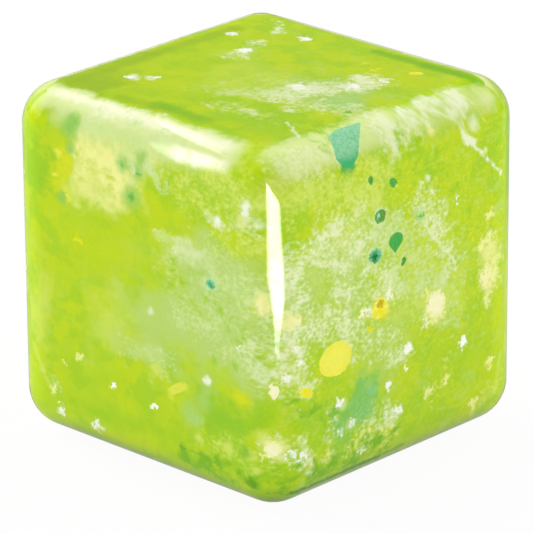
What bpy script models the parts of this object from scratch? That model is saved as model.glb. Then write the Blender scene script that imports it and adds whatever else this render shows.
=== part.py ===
# Translucent cast cube: a clear shell that is filled from below and closed by a clear plate,
# a cloudy core, and coloured chips in the core's skin.
# Metres, +Z up, origin at the middle of the underside.

import math
import random
from collections import namedtuple

import bmesh
import bpy
from mathutils import Matrix, Vector

MM = 0.001

# Driving dimensions
EDGE = 22.0 * MM  # the cube over its flats
EDGE_RADIUS = 2.6 * MM  # rounding of the outer edges
WALL = 0.7 * MM  # wall of the clear shell
RIM = 1.5 * MM  # flat rim round the filling opening in the underside
OPENING_RADIUS = 2.0 * MM  # rounded corners of that opening
CHIP_THICKNESS = 0.4 * MM  # how deep a chip lies in the core's skin
FIT = 0.1 * MM  # gap between pieces that lie against each other
CHIP_UNIT = 1.0 * MM  # the unit of the widths and heights in the table of chips

# Sizes that follow from them
CAVITY_EDGE = EDGE - 2 * WALL
CORE_EDGE = CAVITY_EDGE - 2 * FIT
LEAST_RADIUS = 0.3 * MM  # the smallest rounding that a casting gets
CORE_RADIUS = max(EDGE_RADIUS - WALL - FIT, LEAST_RADIUS)
CORE_FLAT = CORE_EDGE / 2 - CORE_RADIUS  # half the width of a flat of the core
OPENING_EDGE = EDGE - 2 * EDGE_RADIUS - 2 * RIM
MIDDLE = Vector((0, 0, EDGE / 2))

# Numbers of the modelling itself
WELD = 1e-6
ROUND_SEGMENTS = 6  # facets across a rounded edge
ARC_POINTS = 12  # points round the head of a drop, or along both sides of a sliver
SHARD_CORNERS = (6, 8)
SHARD_TURN = 0.25  # how far a shard's corner strays, as a share of the turn between corners
SHARD_DEPTH = 0.8  # nearest that a shard's corner comes to its middle, as a share of its reach

# Sides of the core: which way each faces, and which way runs across it
Side = namedtuple("Side", "out across")
SIDES = {
    "left": Side((0, -1, 0), (1, 0, 0)),
    "right": Side((1, 0, 0), (0, 1, 0)),
    "top": Side((0, 0, 1), (1, 0, 0)),
    "back_right": Side((0, 1, 0), (-1, 0, 0)),
    "back_left": Side((-1, 0, 0), (0, -1, 0)),
    "under": Side((0, 0, -1), (1, 0, 0)),
    "front_edge": Side((1, -1, 0), (1, 1, 0)),
    "upper_right_edge": Side((1, 0, 1), (0, 1, 0)),
    "upper_left_edge": Side((0, -1, 1), (1, 0, 0)),
}

# Chips: across and up are shares of half the core's flat, from the middle of the side.
# Width and height are in chip units, and turn is in degrees, anticlockwise from outside.
Chip = namedtuple("Chip", "name tint side across up width height turn outline")
CHIPS = (
    Chip("teal_flake_large", "teal", "upper_right_edge", -0.37, 0.01, 3.5, 2.1, 0, "tongue"),
    Chip("teal_sliver_1", "green", "right", -0.28, 0.92, 0.4, 0.85, 24, "sliver"),
    Chip("teal_chip_1", "green", "right", -0.05, 0.84, 1.0, 0.55, -40, "shard"),
    Chip("teal_chip_2", "teal", "right", -0.18, 0.63, 1.05, 1.0, 10, "shard"),
    Chip("teal_sliver_2", "teal", "right", 0.24, 0.52, 1.1, 0.55, 18, "sliver"),
    Chip("teal_drop", "green", "right", -0.02, 0.39, 1.25, 1.25, 0, "drop"),
    Chip("teal_chip_3", "teal", "right", -0.23, 0.35, 1.25, 1.05, -15, "shard"),
    Chip("teal_sliver_3", "green", "right", 0.06, 0.23, 0.4, 0.85, -40, "sliver"),
    Chip("yellow_chip_amber", "yellow", "right", -0.19, -0.05, 1.5, 1.45, 20, "shard"),
    Chip("cream_chip_1", "cream", "right", -0.37, -0.05, 0.7, 0.8, 0, "shard"),
    Chip("yellow_disc", "yellow", "right", -0.64, -0.3, 2.8, 2.2, 0, "disc"),
    Chip("yellow_sliver_1", "yellow", "right", -0.93, -0.46, 1.5, 0.6, -30, "sliver"),
    Chip("cream_chip_2", "cream", "right", 0.4, -0.19, 2.0, 1.8, 0, "shard"),
    Chip("cream_chip_3", "cream", "right", 0.93, -0.14, 1.8, 2.6, 0, "shard"),
    Chip("white_fleck_1", "white", "right", 0.11, -0.43, 0.7, 0.9, 25, "shard"),
    Chip("white_fleck_2", "white", "right", -0.1, -0.65, 0.75, 0.45, 30, "shard"),
    Chip("white_fleck_3", "white", "right", 0.69, -0.56, 0.6, 0.85, -20, "shard"),
    Chip("teal_smear", "haze", "right", -0.36, -0.76, 3.0, 2.6, 0, "shard"),
    Chip("cream_chip_4", "cream", "right", -1.02, 0.1, 1.0, 0.75, 0, "shard"),
    Chip("cream_chip_5", "cream", "front_edge", 0.0, -0.84, 1.1, 1.25, 0, "shard"),
    Chip("cream_chip_6", "cream", "front_edge", 0.0, -0.4, 0.65, 1.25, 0, "sliver"),
    Chip("yellow_chip_1", "yellow", "front_edge", -0.06, 0.22, 0.75, 1.5, 0, "sliver"),
    Chip("haze_chip", "haze", "upper_left_edge", -0.71, -0.07, 1.2, 0.9, 20, "shard"),
    Chip("teal_chip_4", "teal", "left", -0.18, 0.94, 0.55, 0.85, -25, "shard"),
    Chip("teal_chip_5", "teal", "left", 0.04, 1.03, 0.5, 0.5, 0, "shard"),
    Chip("teal_chip_6", "teal", "left", -0.01, 0.91, 0.85, 0.5, 0, "shard"),
    Chip("teal_chip_7", "teal", "left", -0.09, 0.72, 0.9, 0.85, 30, "shard"),
    Chip("yellow_fleck_1", "yellow", "left", -0.81, 0.88, 0.7, 0.5, 0, "shard"),
    Chip("yellow_fleck_2", "yellow", "left", -0.85, 0.71, 0.65, 0.55, 0, "shard"),
    Chip("yellow_fleck_3", "yellow", "left", -0.72, 0.57, 0.75, 0.7, 0, "shard"),
    Chip("teal_chip_8", "teal", "left", 0.67, 0.28, 1.0, 0.8, 0, "shard"),
    Chip("yellow_sliver_2", "yellow", "left", 0.33, -0.59, 2.7, 0.6, 31, "sliver"),
    Chip("yellow_chip_2", "yellow", "left", 0.95, -0.49, 1.3, 0.9, -20, "shard"),
    Chip("pale_teal_flake", "haze", "left", 0.5, -0.77, 2.2, 1.5, 0, "shard"),
    Chip("white_fleck_4", "white", "left", -0.31, -0.75, 0.7, 0.5, 20, "shard"),
    Chip("white_fleck_5", "white", "left", 0.1, -0.79, 0.85, 0.5, 10, "shard"),
    Chip("white_fleck_6", "white", "left", -0.85, -1.05, 0.9, 0.55, -15, "shard"),
    Chip("white_fleck_7", "white", "left", 0.99, 0.89, 0.6, 1.1, 0, "shard"),
    Chip("white_fleck_8", "white", "left", 0.74, 0.76, 1.0, 0.6, -20, "shard"),
    Chip("green_chip", "green", "left", 0.37, -1.04, 1.0, 0.6, 0, "shard"),
    Chip("white_fleck_9", "white", "left", 0.62, -0.45, 0.85, 0.5, 0, "shard"),
    Chip("white_fleck_10", "white", "top", -0.76, -0.59, 0.6, 1.0, -45, "shard"),
    Chip("white_fleck_11", "white", "top", -0.63, -0.47, 0.5, 0.8, -45, "shard"),
    Chip("white_fleck_12", "white", "top", -0.57, 0.39, 0.8, 1.1, -45, "shard"),
    Chip("white_fleck_13", "white", "top", -0.42, 0.87, 0.6, 1.0, -45, "shard"),
    Chip("white_fleck_14", "white", "top", 0.3, 0.05, 1.0, 1.4, -45, "shard"),
    Chip("yellow_fleck_4", "yellow", "top", 0.67, 0.83, 0.6, 1.0, -45, "shard"),
    Chip("teal_chip_9", "green", "top", 0.88, -0.11, 0.6, 0.9, -45, "shard"),
    Chip("teal_chip_10", "teal", "back_right", 0.35, 0.4, 1.2, 1.0, 25, "shard"),
    Chip("yellow_chip_3", "yellow", "back_right", -0.4, -0.2, 1.6, 1.3, 0, "disc"),
    Chip("white_fleck_15", "white", "back_right", 0.15, -0.6, 0.8, 0.6, 0, "shard"),
    Chip("teal_chip_11", "teal", "back_left", -0.3, 0.5, 1.0, 1.1, 0, "drop"),
    Chip("yellow_sliver_3", "yellow", "back_left", 0.4, -0.1, 1.8, 0.6, 35, "sliver"),
    Chip("white_fleck_16", "white", "back_left", -0.2, -0.55, 0.7, 0.6, 0, "shard"),
    Chip("cream_chip_7", "cream", "under", 0.3, 0.35, 1.4, 1.2, 0, "shard"),
)

# Tint: base colour, roughness and alpha
Tint = namedtuple("Tint", "colour roughness alpha")
TINTS = {
    "clear": Tint((0.62, 0.80, 0.12), 0.05, 0.35),
    "core": Tint((0.46, 0.66, 0.03), 0.45, 1.0),
    "teal": Tint((0.05, 0.42, 0.24), 0.35, 1.0),
    "green": Tint((0.06, 0.30, 0.08), 0.35, 1.0),
    "haze": Tint((0.22, 0.55, 0.20), 0.5, 1.0),
    "yellow": Tint((0.86, 0.76, 0.05), 0.4, 1.0),
    "cream": Tint((0.90, 0.88, 0.48), 0.45, 1.0),
    "white": Tint((0.92, 0.95, 0.82), 0.45, 1.0),
}


def new_collection(name):
    collection = bpy.data.collections.new(name)
    bpy.context.scene.collection.children.link(collection)
    return collection


def new_material(name, tint):
    material = bpy.data.materials.new(name)
    material.use_nodes = True
    shader = material.node_tree.nodes["Principled BSDF"]
    shader.inputs["Base Color"].default_value = (*tint.colour, 1)
    shader.inputs["Roughness"].default_value = tint.roughness
    shader.inputs["Metallic"].default_value = 0.0
    shader.inputs["Alpha"].default_value = tint.alpha
    return material


def rounded_box(name, edge, radius, collection):
    mesh = bpy.data.meshes.new(name)
    shape = bmesh.new()
    bmesh.ops.create_cube(shape, size=edge)
    shape.to_mesh(mesh)
    shape.free()
    mesh.shade_smooth()
    obj = bpy.data.objects.new(name, mesh)
    obj.location = MIDDLE
    collection.objects.link(obj)
    bevel = obj.modifiers.new("rounded_edges", "BEVEL")
    bevel.width = radius
    bevel.segments = ROUND_SEGMENTS
    bevel.limit_method = "NONE"
    return obj


def as_tool(obj):
    obj.hide_render = True
    obj.display_type = "WIRE"
    return obj


def cut(obj, tool, operation="DIFFERENCE"):
    boolean = obj.modifiers.new(tool.name, "BOOLEAN")
    boolean.operation = operation
    boolean.object = tool


def even_light(obj):
    obj.modifiers.new("even_normals", "WEIGHTED_NORMAL")


# Outlines, each in its own units and anticlockwise


def shard(name):
    """A broken chip: corners at uneven turns and distances, the same each time for one name."""
    draw = random.Random(name)
    corners = draw.randint(*SHARD_CORNERS)
    points = []
    for corner in range(corners):
        angle = math.tau * (corner + draw.uniform(-SHARD_TURN, SHARD_TURN)) / corners
        radius = draw.uniform(SHARD_DEPTH, 1.0)
        points.append((radius * math.cos(angle), radius * math.sin(angle)))
    return points


def sliver(_name):
    """A lens: two shallow arcs that meet in points, along the longer side."""
    half = ARC_POINTS // 2
    steps = [2 * step / half - 1 for step in range(half)]
    lower = [(x, x * x - 1) for x in steps]
    return lower + [(-x, -y) for x, y in lower]


def drop(_name):
    """A round head over a tip that points down."""
    first, last, tip = math.radians(-25), math.radians(205), (-0.1, -1.6)
    turns = [first + (last - first) * step / (ARC_POINTS - 1) for step in range(ARC_POINTS)]
    return [(math.cos(turn), math.sin(turn)) for turn in turns] + [tip]


def disc(_name):
    """A pressed drop: round, with one blunt corner low on its right."""
    corner, swell, sharpness = math.radians(-55), 0.25, 12
    points = []
    for step in range(2 * ARC_POINTS):
        turn = math.tau * step / (2 * ARC_POINTS)
        radius = 1 + swell * max(0, math.cos(turn - corner)) ** sharpness
        points.append((radius * math.cos(turn), radius * math.sin(turn)))
    return points


def tongue(_name):
    """The large flake, which lies over the core's edge: a slanting strip with a round lower end."""
    return [
        (1.0, 0.95),
        (-0.15, 1.0),
        (-0.68, 0.8),
        (-0.8, 0.4),
        (-1.0, -0.4),
        (-0.82, -0.88),
        (-0.42, -1.0),
        (-0.04, -0.64),
        (0.37, 0.13),
    ]


OUTLINES = {"shard": shard, "sliver": sliver, "drop": drop, "disc": disc, "tongue": tongue}


def stretched(points, width, height):
    """The outline centred, at its width and height."""
    low = [min(point[axis] for point in points) for axis in (0, 1)]
    high = [max(point[axis] for point in points) for axis in (0, 1)]
    return [
        Vector((
            (x - (low[0] + high[0]) / 2) * width / (high[0] - low[0]),
            (y - (low[1] + high[1]) / 2) * height / (high[1] - low[1]),
        ))
        for x, y in points
    ]


def chip_outline(chip):
    """The chip's outline at its size. A sliver that is taller than wide stands up."""
    points = OUTLINES[chip.outline](chip.name)
    if chip.outline == "sliver" and chip.height > chip.width:
        points = [(-y, x) for x, y in points]
    return stretched(points, chip.width * CHIP_UNIT, chip.height * CHIP_UNIT)


def grown(points, by):
    """The outline with each of its edges moved out by the same distance."""
    moved = []
    for index, point in enumerate(points):
        before = (point - points[index - 1]).normalized()
        after = (points[(index + 1) % len(points)] - point).normalized()
        first = Vector((before.y, -before.x))
        second = Vector((after.y, -after.x))
        moved.append(point + (first + second) * by / (1 + first.dot(second)))
    return moved


def side_place(chip):
    """Where the chip's middle touches the core's skin, from the core's middle, with Z outwards."""
    side = SIDES[chip.side]
    out = Vector(side.out)
    away = CORE_FLAT * out.length + CORE_RADIUS
    out.normalize()
    across = Vector(side.across).normalized()
    up = out.cross(across)
    turned = Matrix((across, up, out)).transposed().to_4x4()
    turned.translation = out * away + (across * chip.across + up * chip.up) * CORE_FLAT
    return turned @ Matrix.Rotation(math.radians(chip.turn), 4, "Z")


def prism(name, points, place, low, high, collection):
    """A mesh prism of an outline, between two heights above its place."""
    curve = bpy.data.curves.new(name, "CURVE")
    curve.dimensions = "2D"
    curve.fill_mode = "BOTH"
    curve.extrude = (high - low) / 2
    spline = curve.splines.new("POLY")
    spline.points.add(len(points) - 1)
    for target, point in zip(spline.points, points):
        target.co = (*point, 0, 1)
    spline.use_cyclic_u = True
    guide = bpy.data.objects.new(name, curve)
    guide.matrix_world = place @ Matrix.Translation((0, 0, (high + low) / 2))
    collection.objects.link(guide)
    graph = bpy.context.evaluated_depsgraph_get()
    mesh = bpy.data.meshes.new_from_object(guide.evaluated_get(graph))
    matrix = guide.matrix_world.copy()
    bpy.data.objects.remove(guide)
    shape = bmesh.new()
    shape.from_mesh(mesh)
    bmesh.ops.remove_doubles(shape, verts=shape.verts, dist=WELD)
    bmesh.ops.recalc_face_normals(shape, faces=shape.faces)
    shape.to_mesh(mesh)
    shape.free()
    mesh.name = name
    mesh.shade_flat()
    obj = bpy.data.objects.new(name, mesh)
    obj.matrix_world = matrix
    collection.objects.link(obj)
    return obj


def rounded_square(edge, radius):
    points = []
    for corner in range(4):
        for step in range(ROUND_SEGMENTS + 1):
            turn = math.radians(90) * (corner + step / ROUND_SEGMENTS)
            toward = math.radians(90) * (corner + 0.5)
            middle = Vector((math.cos(toward), math.sin(toward))) * math.sqrt(2) * (edge / 2 - radius)
            points.append(middle + Vector((math.cos(turn), math.sin(turn))) * radius)
    return points


def clear_pieces(parts, tools, material, origin):
    """The shell, open below where the core was poured in, and the plate that closes it."""
    outline = rounded_square(OPENING_EDGE, OPENING_RADIUS)
    room = as_tool(rounded_box("core_room", CAVITY_EDGE, CORE_RADIUS + FIT, tools))
    opening = as_tool(prism("filling_opening", grown(outline, FIT), Matrix(), -WALL, 2 * WALL, tools))
    shell = rounded_box("clear_shell", EDGE, EDGE_RADIUS, parts)
    cut(shell, room)
    cut(shell, opening)
    even_light(shell)
    plate = prism("base_plate", outline, Matrix(), 0, WALL, parts)
    for piece in (shell, plate):
        piece.parent = origin
        piece.data.materials.append(material)


def core_with_chips(parts, tools, pockets, materials, origin):
    """The core, with a pocket in its skin for each chip, and the chips level with the skin."""
    core = rounded_box("cloudy_core", CORE_EDGE, CORE_RADIUS, parts)
    core.parent = origin
    core.data.materials.append(materials["core"])
    skin = as_tool(rounded_box("core_skin", CORE_EDGE, CORE_RADIUS, tools))
    floors = []
    for name, depth in (("chip_floor", CHIP_THICKNESS), ("pocket_floor", CHIP_THICKNESS + FIT)):
        radius = max(CORE_RADIUS - depth, LEAST_RADIUS)
        floors.append(as_tool(rounded_box(name, CORE_EDGE - 2 * depth, radius, tools)))
    chip_floor, pocket_floor = floors

    low, high = -CORE_RADIUS - CHIP_THICKNESS, FIT
    to_middle = Matrix.Translation(MIDDLE)
    for chip in CHIPS:
        outline = chip_outline(chip)
        place = to_middle @ side_place(chip)
        pocket = prism(chip.name + "_pocket", grown(outline, FIT), place, low, high, pockets)
        cut(as_tool(pocket), pocket_floor)
        piece = prism(chip.name, outline, place, low, high, parts)
        cut(piece, skin, "INTERSECT")
        cut(piece, chip_floor)
        piece.data.materials.append(materials[chip.tint])
        piece.parent = core
        piece.matrix_parent_inverse = to_middle.inverted()

    hollows = core.modifiers.new("chip_pockets", "BOOLEAN")
    hollows.operand_type = "COLLECTION"
    hollows.collection = pockets
    even_light(core)


def main():
    for obj in list(bpy.data.objects):
        bpy.data.objects.remove(obj)
    parts = new_collection("cast_cube")
    tools = new_collection("cutters")
    pockets = new_collection("pocket_cutters")
    materials = {name: new_material(name, tint) for name, tint in TINTS.items()}
    origin = bpy.data.objects.new("cube_origin", None)
    parts.objects.link(origin)
    clear_pieces(parts, tools, materials["clear"], origin)
    core_with_chips(parts, tools, pockets, materials, origin)


main()
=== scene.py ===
# Translucent cast cube: a clear coat over a cloudy lime core with coloured chips in its skin.
# Places and sizes on the cube are in millimetres from its middle, and mm turns them into metres.
import math
from types import SimpleNamespace

import bpy
from mathutils import Matrix, Vector


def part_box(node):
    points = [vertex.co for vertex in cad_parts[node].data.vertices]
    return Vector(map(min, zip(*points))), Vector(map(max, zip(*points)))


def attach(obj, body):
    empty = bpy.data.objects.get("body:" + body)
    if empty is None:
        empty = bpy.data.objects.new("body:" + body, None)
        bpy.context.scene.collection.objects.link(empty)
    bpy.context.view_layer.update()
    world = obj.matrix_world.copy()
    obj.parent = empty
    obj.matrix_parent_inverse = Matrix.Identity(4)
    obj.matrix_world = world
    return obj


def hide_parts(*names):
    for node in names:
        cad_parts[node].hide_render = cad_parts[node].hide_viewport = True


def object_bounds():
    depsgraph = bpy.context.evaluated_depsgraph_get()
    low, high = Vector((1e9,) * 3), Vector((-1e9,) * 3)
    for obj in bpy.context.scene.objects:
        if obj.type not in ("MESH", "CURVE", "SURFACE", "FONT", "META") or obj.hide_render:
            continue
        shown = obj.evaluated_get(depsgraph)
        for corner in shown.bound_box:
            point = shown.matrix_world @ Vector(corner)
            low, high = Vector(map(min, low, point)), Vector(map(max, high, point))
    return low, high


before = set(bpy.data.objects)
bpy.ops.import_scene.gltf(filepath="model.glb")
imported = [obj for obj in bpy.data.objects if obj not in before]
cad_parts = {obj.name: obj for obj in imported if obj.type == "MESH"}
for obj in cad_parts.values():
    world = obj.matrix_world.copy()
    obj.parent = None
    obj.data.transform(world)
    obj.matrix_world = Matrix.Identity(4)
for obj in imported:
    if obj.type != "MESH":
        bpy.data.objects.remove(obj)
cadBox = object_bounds()
mm = 0.001
cubeMiddle = (Vector(cadBox[0]) + Vector(cadBox[1])) / 2
print("frame loaded:", len(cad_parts), "nodes")


class Wire:
    # A socket of a node tree. + - * / between wires and numbers add the nodes that work them out.
    def __init__(self, tree, socket=None):
        self.tree = tree
        self.socket = socket

    def node(self, kind, settings=None, sockets=None, output=0):
        # any other node: its settings first, then the values or links of its sockets
        made = self.tree.nodes.new("ShaderNode" + kind)
        for key, value in (settings or {}).items():
            setattr(made, key, value)
        for key, value in (sockets or {}).items():
            if isinstance(value, Wire):
                self.tree.links.new(value.socket, made.inputs[key])
            else:
                made.inputs[key].default_value = value
        return Wire(self.tree, made.outputs[output] if made.outputs else None)

    def work(self, operation, first, second):
        sides = [first, second]
        vector = any(
            side.socket.type == "VECTOR" if isinstance(side, Wire) else not isinstance(side, (int, float))
            for side in sides
        )
        if vector:
            sides = [(side,) * 3 if isinstance(side, (int, float)) else side for side in sides]
        kind = "VectorMath" if vector else "Math"
        return self.node(kind, {"operation": operation}, dict(enumerate(sides)))

    def __add__(self, other):
        return self.work("ADD", self, other)

    def __radd__(self, other):
        return self.work("ADD", other, self)

    def __sub__(self, other):
        return self.work("SUBTRACT", self, other)

    def __rsub__(self, other):
        return self.work("SUBTRACT", other, self)

    def __mul__(self, other):
        return self.work("MULTIPLY", self, other)

    def __rmul__(self, other):
        return self.work("MULTIPLY", other, self)

    def __truediv__(self, other):
        return self.work("DIVIDE", self, other)

    def __rtruediv__(self, other):
        return self.work("DIVIDE", other, self)


# What the studio does to a painted colour: the share of light that comes back, and the gloss over it
underCoat = {"share": (0.94, 0.95, 0.87), "gloss": 0.025}


def tone(red, green, blue):
    # the paint that shows through the clear coat as this screen colour, 0 to 255
    paint = []
    for part, share in zip((red, green, blue), underCoat["share"]):
        part = part / 255
        part = part / 12.92 if part < 0.04045 else ((part + 0.055) / 1.055) ** 2.4
        paint.append(min(max((part - underCoat["gloss"]) / share, 0), 1))
    return (*paint, 1)


def newMaterial(name):
    material = bpy.data.materials.new(name)
    material.use_nodes = True
    material.node_tree.nodes.clear()
    return material, Wire(material.node_tree)


def finishMaterial(start, shader):
    start.node("OutputMaterial", None, {"Surface": shader})


def cubePlace(start):
    # Object coordinates in millimetres from the cube's middle
    spot = start.node("TexCoord", None, None, "Object")
    return start.node("Mapping", None, {
        "Vector": spot, "Location": tuple(-cubeMiddle / mm), "Scale": (1 / mm,) * 3})


def mixed(first, second, share):
    return share.node("Mix", {"data_type": "RGBA"}, {0: share, 6: first, 7: second}, 2)


def smooth(value, low, high):
    return value.node("MapRange", {"interpolation_type": "SMOOTHSTEP"}, {
        "Value": value, "From Min": low, "From Max": high})


def between(share, low, high):
    return share * (high - low) + low


def noise(at, scale, detail=3.0, roughness=0.55, distortion=0.0, output="Fac"):
    return at.node("TexNoise", None, {
        "Vector": at, "Scale": scale, "Detail": detail,
        "Roughness": roughness, "Distortion": distortion}, output)


def push(at, scale):
    # a wandering shift, about a sixth of a millimetre each way
    return noise(at, scale, 3.0, 0.6, 0.0, "Color") - (0.5, 0.5, 0.5)


def length(vector):
    return vector.node("VectorMath", {"operation": "LENGTH"}, {0: vector}, "Value")


def away(at, middle, reach):
    # distance from the middle of an ellipsoid, 1 on its surface
    shrink = tuple(1 / side for side in reach)
    shift = tuple(-spot / side for spot, side in zip(middle, reach))
    return length(at.node("VectorMath", {"operation": "MULTIPLY_ADD"}, {0: at, 1: shrink, 2: shift}))


def fromLine(at, start, end):
    # distance from the line between two points
    run = Vector(end) - Vector(start)
    begun = at - tuple(start)
    share = at.node("VectorMath", {"operation": "DOT_PRODUCT"}, {
        0: begun, 1: tuple(run / run.length_squared)}, "Value")
    share = at.node("Clamp", None, {"Value": share})
    return length(begun - at.node("VectorMath", {"operation": "SCALE"}, {0: tuple(run), "Scale": share}))


def largest(first, second):
    return second if first is None else first.node("Math", {"operation": "MAXIMUM"}, {0: first, 1: second})


def smallest(first, second):
    return second if first is None else first.node("Math", {"operation": "MINIMUM"}, {0: first, 1: second})


def roundedCube(name, low, high, radius, segments):
    # a cube between two corners, with its edges rounded in edit mode
    weld = 0.0001 * mm
    bpy.ops.object.select_all(action="DESELECT")
    bpy.ops.mesh.primitive_cube_add(size=1, location=(low + high) / 2)
    piece = bpy.context.object
    piece.name = piece.data.name = name
    piece.scale = high - low
    bpy.ops.object.transform_apply(location=True, rotation=True, scale=True)
    bpy.ops.object.mode_set(mode="EDIT")
    bpy.ops.mesh.select_all(action="SELECT")
    bpy.ops.mesh.bevel(offset=radius, segments=segments, profile=0.5, affect="EDGES")
    bpy.ops.mesh.select_all(action="SELECT")
    bpy.ops.mesh.remove_doubles(threshold=weld)
    bpy.ops.mesh.normals_make_consistent(inside=False)
    bpy.ops.object.mode_set(mode="OBJECT")
    bpy.ops.object.shade_smooth()
    bpy.ops.object.modifier_add(type="WEIGHTED_NORMAL")
    bpy.ops.object.modifier_apply(modifier=piece.modifiers[-1].name)
    return piece


# Camera, at the photograph's angle
camera = {
    "azimuth": 43.758, "elevation": 21.088, "roll": -0.406,
    "distance": 284.4 * mm, "lens": 320.15, "sensor": 36.0, "clip": (0.01, 100),
    "aim": (-0.038 * mm, -0.960 * mm),  # right of and above the cube's middle
    "pixels": 533,  # each way across the photograph
}


def cameraPlace(values):
    level = Matrix.Rotation(math.radians(values["azimuth"]), 4, "Z") @ Matrix.Rotation(
        math.radians(90 - values["elevation"]), 4, "X")
    aim = cubeMiddle + level.to_3x3() @ Vector((*values["aim"], values["distance"]))
    return Matrix.Translation(aim) @ level @ Matrix.Rotation(math.radians(values["roll"]), 4, "Z")


def makeCamera(values):
    bpy.ops.object.camera_add()
    made = bpy.context.object
    made.name = "photoCamera"
    made.data.lens, made.data.sensor_width = values["lens"], values["sensor"]
    made.data.clip_start, made.data.clip_end = values["clip"]
    made.matrix_world = cameraPlace(values)
    bpy.context.scene.camera = made


makeCamera(camera)
print("camera set")

# Clear coat: one solid of clear resin over the core, with every rounded edge
clearCoat = {
    "radius": 2.6 * mm, "segments": 14,
    "tint": (0.98, 1.0, 0.86, 1), "roughness": 0.03, "ior": 1.42,
    "rippleScale": 0.3, "rippleDetail": 2.0, "rippleStrength": 0.4, "rippleHeight": 0.012 * mm,
}


def makeClearCoat(values):
    low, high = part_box("clear_shell")
    piece = roundedCube("clearCoat", low, high, values["radius"], values["segments"])
    material, start = newMaterial("clearResin")
    at = cubePlace(start)
    ripple = start.node("Bump", None, {
        "Strength": values["rippleStrength"], "Distance": values["rippleHeight"],
        "Height": noise(at, values["rippleScale"], values["rippleDetail"])}, "Normal")
    resin = start.node("BsdfPrincipled", None, {
        "Base Color": values["tint"], "Roughness": values["roughness"], "IOR": values["ior"],
        "Transmission Weight": 1.0, "Normal": ripple})
    through = start.node("BsdfTransparent", None, {"Color": (1, 1, 1, 1)})
    # lamps and the core's own light pass straight through
    rays = start.node("LightPath", None, None, "Is Diffuse Ray")
    resin = start.node("MixShader", None, {0: rays, 1: resin, 2: through})
    shadows = start.node("LightPath", None, None, "Is Shadow Ray")
    finishMaterial(start, start.node("MixShader", None, {0: shadows, 1: resin, 2: through}))
    piece.data.materials.append(material)
    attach(piece, "root")
    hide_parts("clear_shell", "base_plate")


makeClearCoat(clearCoat)
print("clear coat made")


def sightLine(pixel):
    # the camera's place and the way it looks at a pixel of the photograph
    seen, half = cameraPlace(camera), camera["pixels"] / 2
    step = camera["sensor"] / camera["lens"] / camera["pixels"]
    way = seen.to_3x3() @ Vector(((pixel[0] - half) * step, (half - pixel[1]) * step, -1))
    return (seen.translation - cubeMiddle) / mm, way.normalized()


def pastFlats(spot, half, radius):
    # how far a point lies past the ends of a rounded cube's flats, along each axis
    return Vector([math.copysign(max(abs(part) - half + radius, 0), part) for part in spot])


def meet(spot, way, half, radius):
    # walks along a line to a rounded cube, or gives None where it misses
    nearEnough, tooFar = 0.001, 400
    while spot.length < tooFar:
        gap = pastFlats(spot, half, radius).length - radius
        if gap < nearEnough:
            return spot
        spot = spot + way * gap
    return None


def halfWidth(name):
    low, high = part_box(name)
    return (high.x - low.x) / 2 / mm


coatShape = halfWidth("clear_shell"), clearCoat["radius"] / mm


def onCoat(pixel):
    # where a line of sight meets the clear coat, its way and the way that the coat faces
    start, way = sightLine(pixel)
    spot = meet(start, way, *coatShape)
    return spot, way, pastFlats(spot, *coatShape).normalized()


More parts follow.
